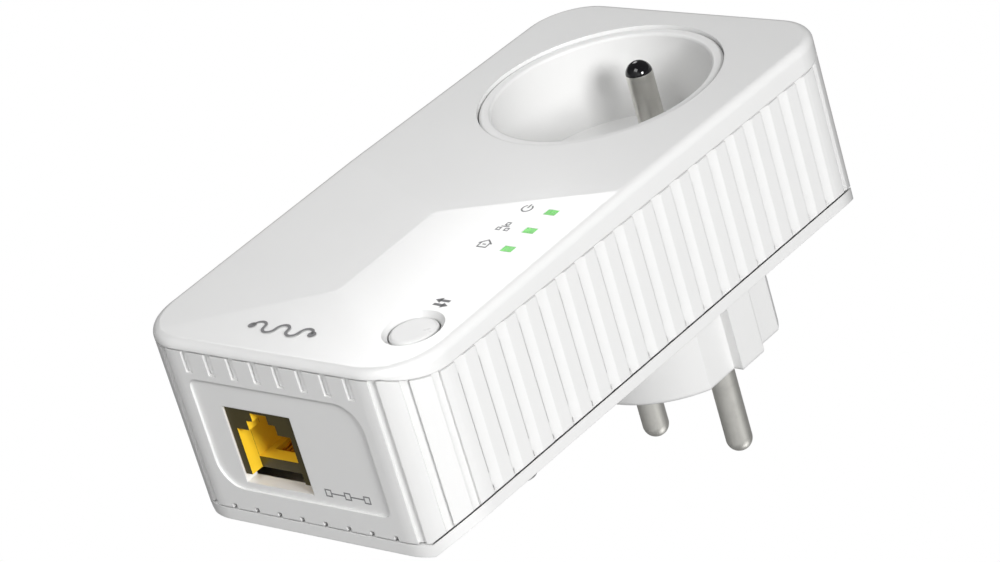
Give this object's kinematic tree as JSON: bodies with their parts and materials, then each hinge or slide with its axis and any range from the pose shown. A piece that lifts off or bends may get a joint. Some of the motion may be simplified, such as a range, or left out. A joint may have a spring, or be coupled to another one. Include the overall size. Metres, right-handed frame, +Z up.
{
  "type": "powerline network adapter",
  "caption": "Wall-plug powerline adapter with a pass-through earthed socket, a network port, status lamps and a pairing button.",
  "frame": {"origin": "centre of the plug's face, the flat end the two plug pins stand out of", "axes": "+X right seen from the front, +Y into the wall along the plug pins, +Z up; the adapter hangs in a wall socket with its pass-through socket at the top and its network port at the bottom"},
  "size_m": [0.061, 0.072, 0.1172],
  "materials": {
    "white_case": "satin white",
    "label": "matt",
    "pin_metal": "bright nickel",
    "grey_plastic": "matt",
    "spring_steel": "drawn wire",
    "contact_brass": "stamped",
    "brown_wire": "smooth sleeve",
    "blue_wire": "smooth sleeve",
    "black_plastic": "moulded",
    "clear_guide": "clear, lit green",
    "lamp": "lit",
    "amber_plastic": "moulded",
    "gold_contact": "plated",
    "board_green": "solder mask",
    "board_tan": "laminate",
    "sheet": "film",
    "chip_black": "moulded",
    "pad_grey": "soft",
    "sink_aluminium": "extruded",
    "can_metal": "drawn can",
    "ferrite": "sintered",
    "can_sleeve": "shrink sleeve",
    "yellow_box": "moulded box",
    "copper_winding": "enamelled wire",
    "blue_disc": "coated disc",
    "screw_steel": "zinc plated"
  },
  "bodies": {
    "adapter": {"front_cover": "white_case", "main_housing": "white_case", "rear_cover": "white_case", "rating_label": "label", "socket_insert": "white_case", "socket_earth_pin": "pin_metal", "shutter_spring": "spring_steel", "contact_carrier": "grey_plastic", "line_contact": "contact_brass", "neutral_contact": "contact_brass", "line_lead": "brown_wire", "neutral_lead": "blue_wire", "plug_body": "white_case", "line_pin": "pin_metal", "neutral_pin": "pin_metal", "earth_frame": "contact_brass", "earth_tube": "contact_brass", "pair_switch": "black_plastic", "light_guide": "clear_guide", "status_lamps": "lamp", "network_jack": "amber_plastic", "jack_contacts": "gold_contact", "logic_board": "board_green", "power_board": "board_tan", "insulation_sheet": "sheet", "processor": "chip_black", "thermal_pad": "pad_grey", "heat_sink": "sink_aluminium", "network_chip": "chip_black", "memory_chip": "chip_black", "crystal": "can_metal", "network_transformer": "chip_black", "coupling_transformer": "chip_black", "power_transformer": "ferrite", "bulk_capacitor": "can_sleeve", "output_capacitor": "can_sleeve", "safety_capacitor": "yellow_box", "noise_choke": "copper_winding", "fuse": "black_plastic", "varistor": "blue_disc", "optocoupler": "chip_black", "board_header": "black_plastic", "header_pins": "gold_contact", "housing_screws": "screw_steel", "board_screws": "screw_steel", "carrier_screws": "screw_steel"},
    "pair_button": {"pair_button": "white_case"},
    "switch_plunger": {"switch_plunger": "black_plastic"},
    "shutter": {"socket_shutter": "grey_plastic"}
  },
  "joints": [
    {"name": "button_press", "type": "slide", "parent": "adapter", "child": "pair_button", "axis": [0, 1, 0], "range_m": [0, 0.0005], "stiffness_N_per_m": 1200, "springref_m": -0.0008},
    {"name": "plunger_slide", "type": "slide", "parent": "adapter", "child": "switch_plunger", "axis": [0, 1, 0], "range_m": [0, 0.0005]},
    {"name": "shutter_slide", "type": "slide", "parent": "adapter", "child": "shutter", "axis": [0, 0, -1], "range_m": [0, 0.006], "stiffness_N_per_m": 120, "springref_m": -0.004, "deforming": ["shutter_spring"]}
  ],
  "couplings": [
    {"joint": "plunger_slide", "follows": "button_press", "ratio": 1}
  ]
}
